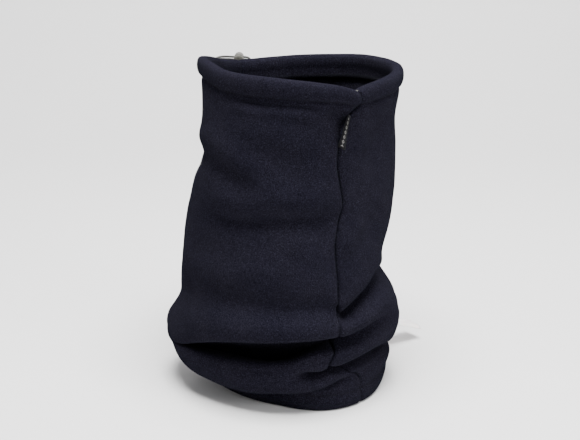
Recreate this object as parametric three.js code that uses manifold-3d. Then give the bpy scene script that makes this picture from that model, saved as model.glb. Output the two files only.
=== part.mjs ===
// A fleece neck gaiter that stands on its hem and slouches in a few soft folds near the floor.
// Two sewn panels make the tube. The top edge is turned in and stitched down as a channel, which holds an
// elastic drawcord. The cord leaves the channel through a buttonhole beside the back seam, and its loop
// passes through a sprung cord lock. A flag label is sewn into the front seam and a care label low on the side.
// Millimetres, +Z up. The wearer's front, with the flag label to the right, faces -Y.
import * as THREE from "three";
import { mergeVertices } from "three/addons/utils/BufferGeometryUtils.js";
import Module from "manifold-3d";

const wasm = await Module();
wasm.setup();

// Driving dimensions.
const PANEL_WIDTH = 254; // one panel laid flat, seam to seam
const RIM_HEIGHT = 262; // mean height of the rim as the gaiter stands
const FOLD_HEIGHT = 92; // where the slouched folds end and the plain body starts
const FLEECE = 2.4; // thickness of the fleece
const TUBE_AXIS = [-8, 1.3]; // x and y of the tube's axis, which put the origin under the middle of the part

// Channel along the rim.
const CHANNEL_DEPTH = 15; // rim to the channel's stitch line
const CHANNEL_HALF_WIDTH = 3.3; // cavity's middle to the middle of either layer
const TURNED_EDGE = 7; // how far the turned edge runs on below the stitch line
const LAYER_GAP = 0.5; // between two layers of fleece that are sewn together

// Sewing.
const SEAM_GAP = 0.8; // between the two panels' edges
const THREAD = 0.9; // diameter of a stitch line's thread
const SEAM_THREAD = 1.4; // diameter of the overlocked chain inside a seam
const SEAM_THREAD_GAP = 0.9; // between the chain and the fleece
const CLEARANCE = 0.35; // between pieces that touch

// Drawcord.
const CORD = 1.8; // diameter
const STRAND_OFFSET = 1.05; // middle of the two strands to either strand's centre line
const EXIT_TURN = 0.041; // how far round the left panel's loft the cord leaves the channel
const CAVITY_REACH = 0.022; // from the buttonhole's middle to where a strand is back in the cavity, as a turn
const ANCHOR_TURN = 0.006; // from the front seam to the cord's sewn ends, as a turn
const CAVITY_STEPS = [13, 16]; // in the left half of the channel and in the right half
const SLOT_WIDTH = 10;
const BUTTONHOLE_BORDER = 1.6;

// Cord lock.
const LOCK_DIAMETER = 8.3;
const LOCK_WALL = 0.9;
const LOCK_FLOOR = 1.2;
const LOCK_TRAVEL = 2.8;
const SPRING_SPACE = 4;
const SPRING_WIRE = 0.36;
const SPRING_TURNS = 3;
const PLUNGER_LAND = 1; // solid end of the plunger below its slot
const BARREL_LIP = 3.3; // barrel above the top of the cord
const BUTTON_THICKNESS = 2;
const LOCK_FROM_EXIT = [16.4, 31.8, 2.2]; // cord's middle in the lock, from the buttonhole
const LOCK_SIDES = 24;
const BEND_FROM_LOCK = 5.2; // where the strands behind the lock start to turn down
const INNER_BEND = 3.6; // radius of the lower strand's turn

// Labels.
const FLAG_HEIGHT = 26;
const FLAG_REACH = 10;
const FLAG_BELOW_CHANNEL = 3;
const FLAG_THICKNESS = 1;
const FLAG_GAP = 0.6; // between its sewn edge and the seam
const CARE_LENGTH = 58;
const CARE_WIDTH = 18;
const CARE_THICKNESS = 0.8;
const CARE_TURN = 0.812; // how far round the loft the care label is sewn
const CARE_ROOT = [0, 29.5]; // its sewn edge, as an offset from the tube's radius and a height
const CARE_DROOP = 16.5; // degrees below level

// Fold lines of the standing tube, as one row for each heading round it. A heading is in degrees from the
// front, and a line is its offset from the tube's own radius and its height above the floor.
// The lines run from the floor up: hem, hem stitch, low belly, low crease, second fold's edge, second fold's
// belly, deep crease, first fold's edge, first fold's belly, last crease.
const HEADINGS = [
  { at: -147, lines: [[-4, 0], [-3, 14], [-2, 19], [0, 24], [5, 31], [7, 42], [1, 52], [7, 59], [10, 68], [5, 90]] },
  { at: -95, lines: [[-7, 0], [-5, 13], [-2, 16], [2, 19], [8, 22], [12, 28], [9, 34], [15, 38], [19, 47], [9, 72]] },
  { at: -50, lines: [[-21, 0], [-20, 13], [-17, 17], [-13, 20], [0, 24], [5, 38], [-14, 51], [8, 57], [12, 66], [6, 86]] },
  { at: -10, lines: [[-19, 0], [-18, 13], [-14, 17], [-10, 20], [1, 25], [0, 46], [-22, 58], [7, 67], [10, 75], [5, 92]] },
  { at: 28, lines: [[-3, 0], [-2, 14], [-4, 20], [-10, 28], [-3, 38], [-5, 57], [-15, 62], [5, 67], [6, 74], [-1, 88]] },
  { at: 62, lines: [[-2, 0], [-1, 14], [2, 26], [-5, 40], [4, 45], [6, 56], [-2, 62], [7, 67], [9, 74], [-5, 92]] },
  { at: 95, lines: [[-2, 0], [-1, 14], [2, 22], [-5, 33], [1, 38], [4, 47], [-1, 53], [7, 58], [8, 66], [-9, 96]] },
  { at: 155, lines: [[-1, 0], [0, 14], [1, 20], [-1, 27], [5, 34], [7, 46], [-1, 54], [6, 61], [9, 71], [1, 92]] },
];
// The body has three more rings between the folds and the channel, at these shares of its height. Its offsets
// from the tube's radius are for those rings and for the rim, and the rim rises above or falls below its mean
// height, in the same order of headings.
const BODY_SHARES = [0.25, 0.62, 1];
const BODY_OFFSETS = [
  [3, 0, -3, -3.5],
  [3, -3, -12, -9],
  [2, 0, -6, -8.5],
  [1, -1, -2, -3.5],
  [0, -1, -1, 2],
  [-2, 0, 1, 5],
  [-4, 0, 1, 6],
  [-1, 1, 1, 1.3],
];
const RIM_RISE = [-8, 5, 8.5, 6.8, -3.5, 3, 2.5, -4.5];

const PANEL_COLUMNS = 22; // columns of each panel's loft
const LOFT_STEPS = 2; // stations between two fold lines
const HEM_STATION = 3; // the profile's station on the hem's stitch line
const STITCH_STEPS = 64;
const STITCH_START = 0.004; // a stitch line's two ends, as turns from the back seam

const tubeRadius = PANEL_WIDTH / Math.PI;
const lerp = THREE.MathUtils.lerp;

function pointAt(heading, radius, height) {
  const angle = THREE.MathUtils.degToRad(heading);
  return new THREE.Vector3(radius * Math.sin(angle), -radius * Math.cos(angle), height);
}

// A closed curve round the tube through one point for each heading.
function ringOf(radiusOf, heightOf) {
  const points = HEADINGS.map((h, i) => pointAt(h.at, tubeRadius + radiusOf(h, i), heightOf(h, i)));
  return new THREE.CatmullRomCurve3(points, true, "catmullrom");
}

const foldRings = HEADINGS[0].lines.map((_, line) =>
  ringOf((h) => h.lines[line][0], (h) => h.lines[line][1]),
);
const bodyRings = BODY_SHARES.map((share, level) =>
  ringOf(
    (h, i) => BODY_OFFSETS[i][level],
    (h, i) => lerp(FOLD_HEIGHT, RIM_HEIGHT + RIM_RISE[i] - CHANNEL_DEPTH - TURNED_EDGE, share),
  ),
);
const rimRing = ringOf((h, i) => BODY_OFFSETS[i][3], (h, i) => RIM_HEIGHT + RIM_RISE[i]);

// The horizontal direction out of the tube at a point.
function outward(point) {
  return new THREE.Vector3(point.x, point.y, 0).normalize();
}

// A point beside the rim: out from the middle of the channel, and up from the rim.
function besideRim(turn, out, up) {
  const rim = rimRing.getPoint(THREE.MathUtils.euclideanModulo(turn, 1));
  return rim.clone().addScaledVector(outward(rim), out).setZ(rim.z + up);
}

// The channel's section from its stitch line over the rim to the turned edge inside: out and up from the rim.
const innerLayer = -FLEECE - LAYER_GAP;
const CHANNEL_SECTION = [
  [0, -CHANNEL_DEPTH - 2],
  [0, -CHANNEL_DEPTH],
  [CHANNEL_HALF_WIDTH, -CHANNEL_DEPTH + 5],
  [CHANNEL_HALF_WIDTH + 0.3, -CHANNEL_HALF_WIDTH - 2],
  [CHANNEL_HALF_WIDTH * 0.7, -CHANNEL_HALF_WIDTH * 0.7],
  [0, -FLEECE / 2],
  [-CHANNEL_HALF_WIDTH * 0.7, -CHANNEL_HALF_WIDTH * 0.7],
  [-CHANNEL_HALF_WIDTH - 0.3, -CHANNEL_HALF_WIDTH - 2],
  [-CHANNEL_HALF_WIDTH, -CHANNEL_DEPTH + 5],
  [innerLayer, -CHANNEL_DEPTH],
  [innerLayer, -CHANNEL_DEPTH - TURNED_EDGE + 2],
];

// The middle of the fleece from the hem's turned edge, up the outside, over the rim to the channel's edge.
function profile(turn) {
  const folds = foldRings.map((ring) => ring.getPoint(turn));
  const body = bodyRings.map((ring) => ring.getPoint(turn));
  const wall = new THREE.CatmullRomCurve3([...folds.slice(1), ...body], false, "catmullrom");
  const steps = (wall.points.length - 1) * LOFT_STEPS;
  const hemFoot = folds[0].clone().setZ(FLEECE / 3);
  const inward = outward(hemFoot).multiplyScalar(innerLayer);
  const hemInside = hemFoot.clone().add(inward);
  const hemEdge = folds[1].clone().add(inward);
  hemEdge.z -= 1;
  return [
    hemEdge,
    hemInside,
    hemFoot,
    ...wall.getPoints(steps),
    ...CHANNEL_SECTION.map(([out, up]) => besideRim(turn, out, up)),
  ];
}

// The direction of a line of points at one of them, half way between its two stretches.
function directionAlong(points, index) {
  const direction = new THREE.Vector3();
  for (const [from, to] of [[index - 1, index], [index, index + 1]]) {
    if (points[from] && points[to]) direction.add(points[to].clone().sub(points[from]).normalize());
  }
  return direction;
}

// A closed solid from a grid of points in the middle of a sheet. The grid's first and last columns lie past the
// sheet's edges, and only give the direction in which the edges face.
function sheetSolid(grid, thickness) {
  const columns = grid.length - 2;
  const rows = grid[0].length;
  const positions = [];
  for (const side of [0.5, -0.5]) {
    for (let i = 1; i <= columns; i++) {
      for (let j = 0; j < rows; j++) {
        const along = grid[i + 1][j].clone().sub(grid[i - 1][j]);
        const normal = along.cross(directionAlong(grid[i], j)).normalize();
        const p = grid[i][j].clone().addScaledVector(normal, side * thickness);
        positions.push(p.x, p.y, Math.max(p.z, 0));
      }
    }
  }
  const outer = (i, j) => i * rows + j;
  const inner = (i, j) => (columns + i) * rows + j;
  const indices = [];
  const quad = (a, b, c, d) => indices.push(a, b, c, a, c, d);
  const lastColumn = columns - 1;
  const lastRow = rows - 1;
  for (let i = 0; i < lastColumn; i++) {
    for (let j = 0; j < lastRow; j++) {
      quad(outer(i, j), outer(i + 1, j), outer(i + 1, j + 1), outer(i, j + 1));
      quad(inner(i, j), inner(i, j + 1), inner(i + 1, j + 1), inner(i + 1, j));
    }
    quad(outer(i, 0), inner(i, 0), inner(i + 1, 0), outer(i + 1, 0));
    quad(outer(i, lastRow), outer(i + 1, lastRow), inner(i + 1, lastRow), inner(i, lastRow));
  }
  for (let j = 0; j < lastRow; j++) {
    quad(outer(0, j), outer(0, j + 1), inner(0, j + 1), inner(0, j));
    quad(outer(lastColumn, j), inner(lastColumn, j), inner(lastColumn, j + 1), outer(lastColumn, j + 1));
  }
  const geometry = new THREE.BufferGeometry();
  geometry.setAttribute("position", new THREE.Float32BufferAttribute(positions, 3));
  return geometry.setIndex(indices);
}

// A geometry as a solid that can be cut, and back.
function solidOf(geometry) {
  const bare = geometry.clone();
  for (const name of Object.keys(bare.attributes)) if (name !== "position") bare.deleteAttribute(name);
  const merged = mergeVertices(bare, 1e-4);
  const mesh = new wasm.Mesh({
    numProp: 3,
    vertProperties: merged.attributes.position.array,
    triVerts: new Uint32Array(merged.index.array),
  });
  return new wasm.Manifold(mesh);
}

function geometryOf(solid) {
  const mesh = solid.getMesh();
  const geometry = new THREE.BufferGeometry();
  geometry.setAttribute("position", new THREE.BufferAttribute(mesh.vertProperties, 3));
  return geometry.setIndex(new THREE.BufferAttribute(mesh.triVerts, 1));
}

// A curve through points that is stepped from point to point, so that tight bends keep their points.
class Route extends THREE.CatmullRomCurve3 {
  getUtoTmapping(u) {
    return u;
  }
}

function roundSection(radius, sides) {
  const corners = [];
  for (let i = 0; i < sides; i++) {
    const angle = (i / sides) * 2 * Math.PI;
    corners.push(new THREE.Vector2(radius * Math.cos(angle), radius * Math.sin(angle)));
  }
  return new THREE.Shape(corners);
}

function tubeAlong(points, diameter, sides, stepsBetween = 1) {
  const route = new Route(points, false, "catmullrom");
  return new THREE.ExtrudeGeometry(roundSection(diameter / 2, sides), {
    steps: (points.length - 1) * stepsBetween,
    bevelEnabled: false,
    extrudePath: route,
  });
}

const FLEECE_LOOK = { color: 0x24242f, roughness: 0.95, metalness: 0 };
const THREAD_LOOK = { color: 0x15151c, roughness: 0.8, metalness: 0 };
const CORD_LOOK = { color: 0x22221f, roughness: 0.75, metalness: 0 };
const LOCK_LOOK = { color: 0x2b2a28, roughness: 0.45, metalness: 0 };
const STEEL_LOOK = { color: 0x9a9da0, roughness: 0.35, metalness: 1 };
const FLAG_LOOK = { color: 0x0c0c0f, roughness: 0.7, metalness: 0 };
const CARE_LOOK = { color: 0xe8e2e0, roughness: 0.55, metalness: 0 };

function piece(name, geometry, look) {
  const mesh = new THREE.Mesh(geometry, new THREE.MeshStandardMaterial(look));
  mesh.name = name;
  return mesh;
}

const gaiter = new THREE.Group();
gaiter.position.set(TUBE_AXIS[0], TUBE_AXIS[1], 0);

const BACK_SEAM = 0;
const FRONT_SEAM = 0.5;

// Panels.
function panelGeometry(from, to) {
  const seamTurn = SEAM_GAP / 2 / (2 * PANEL_WIDTH);
  const grid = [];
  for (let i = -1; i <= PANEL_COLUMNS + 1; i++) {
    grid.push(profile(lerp(from + seamTurn, to - seamTurn, i / PANEL_COLUMNS)));
  }
  return sheetSolid(grid, FLEECE);
}

// Where the cord leaves the channel: the middle of its outer layer, half way down.
const cavityHeight = -CHANNEL_DEPTH / 2;
const exitPoint = besideRim(EXIT_TURN, CHANNEL_HALF_WIDTH, cavityHeight);
const exitOut = outward(exitPoint);

// A box through the channel's outer layer at the cord's exit: along the rim, through the layer and up.
function buttonholeBox(width, depth, height) {
  const hole = new THREE.BoxGeometry(width, depth, height);
  hole.rotateZ(Math.atan2(exitOut.y, exitOut.x) + Math.PI / 2);
  return hole.translate(exitPoint.x, exitPoint.y, exitPoint.z);
}

const slotHeight = 2 * STRAND_OFFSET + CORD + 2 * CLEARANCE;
const slotDepth = 2 * CHANNEL_HALF_WIDTH - FLEECE / 2;

function addPanels() {
  const slot = solidOf(buttonholeBox(SLOT_WIDTH, slotDepth, slotHeight));
  const leftPanel = solidOf(panelGeometry(BACK_SEAM, FRONT_SEAM)).subtract(slot);
  gaiter.add(piece("left_panel", geometryOf(leftPanel), FLEECE_LOOK));
  gaiter.add(piece("right_panel", panelGeometry(FRONT_SEAM, 1), FLEECE_LOOK));
}

// The direction out of the fleece at a station of the profile.
function outOfFleece(turn, station) {
  const along = profile(turn + 0.004)[station].sub(profile(turn - 0.004)[station]);
  return along.cross(directionAlong(profile(turn), station)).normalize();
}

function besideFleece(turn, station, distance) {
  return profile(turn)[station].addScaledVector(outOfFleece(turn, station), distance);
}

// Stitch lines lie in the grooves that they pull into the outside, and end where they began, at the back seam.
function stitchRing(station) {
  const points = [];
  for (let i = 0; i <= STITCH_STEPS; i++) {
    const turn = lerp(STITCH_START, 1 - STITCH_START, i / STITCH_STEPS);
    points.push(besideFleece(turn, station, FLEECE / 2 + CLEARANCE + THREAD / 2));
  }
  return tubeAlong(points, THREAD, 5);
}

const stationCount = profile(0).length;
const bodyTopStation = stationCount - CHANNEL_SECTION.length - 1;
const channelStitchStation = bodyTopStation + 2;

// A seam's chain of thread runs up the inside, from the hem's turned edge to the channel's.
function seamChain(turn) {
  const points = [];
  for (let station = HEM_STATION + 1; station <= bodyTopStation; station++) {
    points.push(besideFleece(turn, station, -(FLEECE / 2 + SEAM_THREAD_GAP + SEAM_THREAD / 2)));
  }
  return tubeAlong(points, SEAM_THREAD, 6);
}

function addThreads() {
  gaiter.add(piece("channel_stitching", stitchRing(channelStitchStation), THREAD_LOOK));
  gaiter.add(piece("hem_stitching", stitchRing(HEM_STATION), THREAD_LOOK));
  gaiter.add(piece("front_seam_thread", seamChain(FRONT_SEAM), THREAD_LOOK));
  gaiter.add(piece("back_seam_thread", seamChain(BACK_SEAM), THREAD_LOOK));
}

// The stitching round the buttonhole is a flat ring on the outside of the channel.
function addButtonholeStitching() {
  const outside = FLEECE / 2 + 2 * CLEARANCE + THREAD;
  const border = 2 * BUTTONHOLE_BORDER;
  const ring = solidOf(buttonholeBox(SLOT_WIDTH + border, 2 * THREAD, slotHeight + border))
    .subtract(solidOf(buttonholeBox(SLOT_WIDTH, 4 * THREAD, slotHeight)))
    .translate([exitOut.x * outside, exitOut.y * outside, 0]);
  gaiter.add(piece("buttonhole_stitching", geometryOf(ring), THREAD_LOOK));
}

// The drawcord. Each strand's free stretch starts in the buttonhole and runs to the lock, as points from the
// buttonhole: x, y and z. The upper strand comes out of the left half of the channel, the lower of the right.
const UPPER_STRAND = [
  [-1.1, 5.9, 1.05], [-2.9, 11.6, 1.3], [-3.9, 18.2, 1.9], [-2.7, 25.2, 2.6], [0.9, 30.2, 3.1], [5.6, 31.8, 3.25],
  [10.5, 31.8, 3.25], [16.4, 31.8, 3.25],
];
const LOWER_STRAND = [
  [-5.6, 0.3, -1.05], [-9.8, 1.8, -1], [-12.6, 5.8, -0.8], [-13.1, 11.4, -0.4], [-11.4, 18.6, 0.2],
  [-7.2, 25.8, 0.8], [-1.3, 30.5, 1.1], [5.2, 31.8, 1.15], [10.5, 31.8, 1.15], [16.4, 31.8, 1.15],
];
// The hanging loop from the upper strand's side to the lower one's, from the lock: x and z.
const LOOP = [
  [10.9, -8], [10.9, -13], [11.7, -18], [13.2, -22], [12.4, -25.6], [9.85, -27.4], [7.3, -25.6], [6.5, -22],
  [8, -18], [8.8, -13], [8.8, -8],
];
// A strand through the buttonhole, from the cavity out: outwards, and along the channel away from its own half.
const THROUGH_SLOT = [[-3.9, -7.6], [-2.7, -3.9], [-0.6, -1.1], [1.8, 1.2]];

const lockPoint = exitPoint.clone().add(new THREE.Vector3(...LOCK_FROM_EXIT));

function strandThroughSlot(along, rise) {
  const tangent = new THREE.Vector3(exitOut.y, -exitOut.x, 0).multiplyScalar(along);
  return THROUGH_SLOT.map(([out, beside]) =>
    exitPoint.clone().addScaledVector(exitOut, out).addScaledVector(tangent, beside).setZ(exitPoint.z + rise),
  );
}

function inCavity(from, to, steps, rise) {
  const points = [];
  for (let i = 0; i <= steps; i++) points.push(besideRim(lerp(from, to, i / steps), 0, cavityHeight + rise));
  return points;
}

// The strands behind the lock turn down through a quarter of a circle.
function bendAfterLock(rise, radius) {
  const points = [];
  for (const degrees of [0, 30, 60, 90]) {
    const angle = THREE.MathUtils.degToRad(degrees);
    const x = BEND_FROM_LOCK + radius * Math.sin(angle);
    points.push(lockPoint.clone().add(new THREE.Vector3(x, 0, rise - radius + radius * Math.cos(angle))));
  }
  return points;
}

function drawcordRoute() {
  const fromExit = (p) => exitPoint.clone().add(new THREE.Vector3(...p));
  const fromLock = ([x, z]) => lockPoint.clone().add(new THREE.Vector3(x, 0, z));
  const rise = STRAND_OFFSET;
  return [
    ...inCavity(FRONT_SEAM - ANCHOR_TURN, EXIT_TURN + CAVITY_REACH, CAVITY_STEPS[0], rise),
    ...strandThroughSlot(1, rise),
    ...UPPER_STRAND.map(fromExit),
    ...bendAfterLock(rise, INNER_BEND + 2 * STRAND_OFFSET),
    ...LOOP.map(fromLock),
    ...bendAfterLock(-rise, INNER_BEND).reverse(),
    ...LOWER_STRAND.map(fromExit).reverse(),
    ...strandThroughSlot(-1, -rise).reverse(),
    ...inCavity(EXIT_TURN - CAVITY_REACH, ANCHOR_TURN - FRONT_SEAM, CAVITY_STEPS[1], -rise),
  ];
}

function addDrawcord() {
  gaiter.add(piece("drawcord", tubeAlong(drawcordRoute(), CORD, 8), CORD_LOOK));
}

// The cord lock, with the cord along its X, the button towards its +Z and the cord's middle at its origin.
function latheOf(outline) {
  return new THREE.LatheGeometry(outline.map(([r, z]) => new THREE.Vector2(r, z)), LOCK_SIDES).rotateX(Math.PI / 2);
}

function cordSlot(low, high) {
  const width = slotHeight;
  return new THREE.BoxGeometry(2 * LOCK_DIAMETER, width, high - low).translate(0, 0, (low + high) / 2);
}

function addCordLock() {
  const cordTop = CORD / 2 + CLEARANCE;
  const bore = LOCK_DIAMETER / 2 - LOCK_WALL;
  const stem = bore - CLEARANCE;
  const plungerFoot = -cordTop - PLUNGER_LAND;
  const springFoot = plungerFoot - SPRING_SPACE;
  const barrelFoot = springFoot - LOCK_FLOOR;
  const barrelTop = cordTop + BARREL_LIP;
  const buttonFoot = barrelTop + LOCK_TRAVEL + CLEARANCE;
  const outer = LOCK_DIAMETER / 2;
  const barrel = solidOf(
    latheOf([[0, barrelFoot], [outer, barrelFoot], [outer, barrelTop], [bore, barrelTop], [bore, springFoot], [0, springFoot]]),
  ).subtract(solidOf(cordSlot(-cordTop, cordTop)));
  const plunger = solidOf(
    latheOf([[0, plungerFoot], [stem, plungerFoot], [stem, buttonFoot], [outer, buttonFoot],
      [outer, buttonFoot + BUTTON_THICKNESS], [0, buttonFoot + BUTTON_THICKNESS]]),
  ).subtract(solidOf(cordSlot(-cordTop, cordTop + LOCK_TRAVEL)));
  const coil = [];
  const coilRadius = stem - SPRING_WIRE;
  const coilFoot = springFoot + SPRING_WIRE;
  const coilTop = plungerFoot - SPRING_WIRE;
  for (let i = 0; i <= SPRING_TURNS * 10; i++) {
    const angle = (i / 10) * 2 * Math.PI;
    const z = lerp(coilFoot, coilTop, i / (SPRING_TURNS * 10));
    coil.push(new THREE.Vector3(coilRadius * Math.cos(angle), coilRadius * Math.sin(angle), z));
  }
  const lock = new THREE.Group();
  lock.add(piece("cord_lock_barrel", geometryOf(barrel), LOCK_LOOK));
  lock.add(piece("cord_lock_plunger", geometryOf(plunger), LOCK_LOOK));
  lock.add(piece("cord_lock_spring", tubeAlong(coil, SPRING_WIRE, 6), STEEL_LOOK));
  lock.position.copy(lockPoint);
  lock.rotation.x = Math.PI / 2;
  gaiter.add(lock);
}

// A point on the outside of the body at a height.
function onBody(turn, height) {
  const wall = profile(turn).slice(HEM_STATION, channelStitchStation + 1);
  const above = wall.findIndex((p, i) => i > 0 && p.z >= height && wall[i - 1].z < height && p.z > FOLD_HEIGHT);
  const [low, high] = [wall[above - 1], wall[above]];
  const point = low.clone().lerp(high, (height - low.z) / (high.z - low.z));
  return point.addScaledVector(outward(point), FLEECE / 2);
}

// The flag label is a folded strip whose two ends are sewn into the front seam, so that it stands out from it.
function addFlagLabel() {
  const top = rimRing.getPoint(FRONT_SEAM).z - CHANNEL_DEPTH - FLAG_BELOW_CHANNEL;
  const upper = onBody(FRONT_SEAM, top);
  const lower = onBody(FRONT_SEAM, top - FLAG_HEIGHT);
  const up = upper.clone().sub(lower).normalize();
  const out = outward(lower.clone().add(upper));
  out.addScaledVector(up, -out.dot(up)).normalize();
  const side = up.clone().cross(out);
  const label = piece("flag_label", new THREE.BoxGeometry(FLAG_REACH, FLAG_THICKNESS, FLAG_HEIGHT), FLAG_LOOK);
  const place = new THREE.Matrix4().makeBasis(out, side, up);
  place.setPosition(lower.add(upper).multiplyScalar(0.5).addScaledVector(out, FLAG_GAP + FLAG_REACH / 2));
  label.applyMatrix4(place);
  gaiter.add(label);
}

// The care label sticks out of the low crease on the right.
function addCareLabel() {
  const root = foldRings[3].getPoint(CARE_TURN);
  const out = outward(root);
  root.addScaledVector(out, tubeRadius + CARE_ROOT[0] - Math.hypot(root.x, root.y)).setZ(CARE_ROOT[1]);
  const label = piece(
    "care_label",
    new THREE.BoxGeometry(CARE_LENGTH, CARE_WIDTH, CARE_THICKNESS).translate(CARE_LENGTH / 2, 0, 0),
    CARE_LOOK,
  );
  label.position.copy(root);
  label.rotation.set(0, THREE.MathUtils.degToRad(CARE_DROOP), Math.atan2(out.y, out.x), "ZYX");
  gaiter.add(label);
}

addPanels();
addThreads();
addButtonholeStitching();
addDrawcord();
addCordLock();
addFlagLabel();
addCareLabel();

export default gaiter;
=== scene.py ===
"""A fleece neck gaiter that stands on its hem and slouches in soft folds near the floor.

Two panels of pile fleece are modelled as one smooth wall round a tube, from fold lines that run round it.
Sewn edges, labels, the drawcord and the cord lock follow from that wall. Sizes are in millimetres, and
every mesh is turned to metres as it is made, apart from the floor's, which is in metres from the start.
Headings are degrees round the tube from its front, with +X to the right, as in the CAD.
"""
import math

import bmesh
import bpy
import numpy as np
from mathutils import Matrix, Vector, noise


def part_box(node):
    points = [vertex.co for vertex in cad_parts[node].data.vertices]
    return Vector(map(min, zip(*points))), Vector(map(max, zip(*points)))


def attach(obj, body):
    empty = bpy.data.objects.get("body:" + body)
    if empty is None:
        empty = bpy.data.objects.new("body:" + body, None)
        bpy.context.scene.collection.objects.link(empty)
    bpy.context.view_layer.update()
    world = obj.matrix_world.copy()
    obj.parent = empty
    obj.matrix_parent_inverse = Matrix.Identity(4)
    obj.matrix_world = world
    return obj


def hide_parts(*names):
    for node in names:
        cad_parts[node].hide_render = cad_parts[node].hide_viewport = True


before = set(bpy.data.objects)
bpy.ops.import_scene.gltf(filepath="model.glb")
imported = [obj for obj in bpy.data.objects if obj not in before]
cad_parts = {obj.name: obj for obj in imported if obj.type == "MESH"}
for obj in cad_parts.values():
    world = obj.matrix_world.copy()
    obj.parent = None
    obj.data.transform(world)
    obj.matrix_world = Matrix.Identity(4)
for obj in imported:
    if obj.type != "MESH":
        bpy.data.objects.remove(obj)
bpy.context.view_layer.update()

MM = 0.001

# Driving dimensions, as in the CAD.
PANEL_WIDTH = 254
FLEECE = 2.4
TUBE_AXIS = np.array([-8, 1.3, 0])
TUBE_RADIUS = PANEL_WIDTH / math.pi
BACK_SEAM = -147
FRONT_SEAM = 28
LAYER_STEP = FLEECE + 0.5  # between the middles of two layers sewn together
CORD = 1.8
STRAND_OFFSET = 1.05  # of each strand from the middle of the slot and of the lock's tunnel


# ---- camera and light

def make_camera():
    data = bpy.data.cameras.new("camera")
    data.lens = 79.1
    data.sensor_width = 36
    camera = bpy.data.objects.new("camera", data)
    camera.location = (-0.008, -0.9787, 0.46)
    camera.rotation_euler = (math.radians(71.7), 0, 0)
    bpy.context.scene.collection.objects.link(camera)
    bpy.context.scene.camera = camera


def add_area_light(name, location, target, size, power):
    data = bpy.data.lights.new(name, "AREA")
    data.shape = "DISK"
    data.size = size
    data.energy = power
    lamp = bpy.data.objects.new(name, data)
    lamp.location = location
    lamp.rotation_euler = (Vector(target) - Vector(location)).to_track_quat("-Z", "Y").to_euler()
    bpy.context.scene.collection.objects.link(lamp)


def make_lights():
    world = bpy.data.worlds.new("studio")
    world.use_nodes = True
    world.node_tree.nodes["Background"].inputs["Color"].default_value = (0.97, 0.98, 1, 1)
    world.node_tree.nodes["Background"].inputs["Strength"].default_value = 0.38
    bpy.context.scene.world = world
    add_area_light("top_light", (0.05, -0.3, 1.6), (0, 0, 0.1), 1.0, 100)
    add_area_light("left_light", (-1.4, -0.7, 0.9), (0, 0, 0.15), 0.8, 1.5)
    add_area_light("right_light", (1.3, -1.0, 0.75), (0, 0, 0.15), 0.7, 17)


# ---- shader maths

class Value:
    """A node's output. Arithmetic on it adds Math nodes."""

    def __init__(self, tree, socket):
        self.tree = tree
        self.socket = socket

    def math(self, operation, *others):
        inputs = [self, *others]
        return self.tree.node("ShaderNodeMath", {"operation": operation}, dict(enumerate(inputs)))

    def __add__(self, other):
        return self.math("ADD", other)

    def __sub__(self, other):
        return self.math("SUBTRACT", other)

    def __rsub__(self, other):
        return (self * -1).math("ADD", other)

    def __mul__(self, other):
        return self.math("MULTIPLY", other)

    def __gt__(self, other):
        return self.math("GREATER_THAN", other)

    __radd__ = __add__
    __rmul__ = __mul__


class Finish:
    """A material with a Principled shader whose inputs are given by name."""

    def __init__(self, name, **constants):
        self.material = bpy.data.materials.new(name)
        self.material.use_nodes = True
        self.nodes = self.material.node_tree.nodes
        self.links = self.material.node_tree.links
        self.shader = self.nodes["Principled BSDF"]
        for key, value in constants.items():
            self.set(key.replace("_", " "), value)

    def node(self, kind, settings=None, inputs=None, output=0):
        made = self.nodes.new(kind)
        for key, value in (settings or {}).items():
            setattr(made, key, value)
        for key, value in (inputs or {}).items():
            self.feed(made.inputs[key], value)
        return Value(self, made.outputs[output])

    def feed(self, socket, value):
        if isinstance(value, Value):
            self.links.new(value.socket, socket)
        else:
            socket.default_value = value

    def set(self, name, value):
        self.feed(self.shader.inputs[name], value)

    def colour(self, factor, stops):
        """Gives the surface a ramp's colours, by a factor that changes over it."""
        self.set("Base Color", self.ramp(factor, stops))

    def objects_place(self):
        return self.node("ShaderNodeTexCoord", output="Object")

    def uv(self):
        return self.node("ShaderNodeUVMap", {"uv_map": "along"})

    def parts_of(self, vector):
        made = self.nodes.new("ShaderNodeSeparateXYZ")
        self.feed(made.inputs[0], vector)
        return [Value(self, made.outputs[i]) for i in range(3)]

    def noise(self, scale, detail=2.0, roughness=0.5, vector=None):
        place = vector or self.objects_place()
        inputs = {"Vector": place, "Scale": scale, "Detail": detail, "Roughness": roughness}
        return self.node("ShaderNodeTexNoise", {"noise_dimensions": "3D"}, inputs)

    def ramp(self, factor, stops):
        made = self.nodes.new("ShaderNodeValToRGB")
        while len(made.color_ramp.elements) < len(stops):
            made.color_ramp.elements.new(0.5)
        for element, (position, colour) in zip(made.color_ramp.elements, stops):
            element.position = position
            element.color = (*colour, 1)
        self.feed(made.inputs[0], factor)
        return Value(self, made.outputs[0])

    def mix(self, factor, first, second):
        made = self.nodes.new("ShaderNodeMix")
        made.data_type = "RGBA"
        self.feed(made.inputs[0], factor)
        for socket, value in ((made.inputs[6], first), (made.inputs[7], second)):
            self.feed(socket, value if isinstance(value, Value) else (*value, 1))
        return Value(self, made.outputs[2])

    def bump(self, height, strength, distance):
        inputs = {"Height": height, "Strength": strength, "Distance": distance}
        self.set("Normal", self.node("ShaderNodeBump", {}, inputs))


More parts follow.
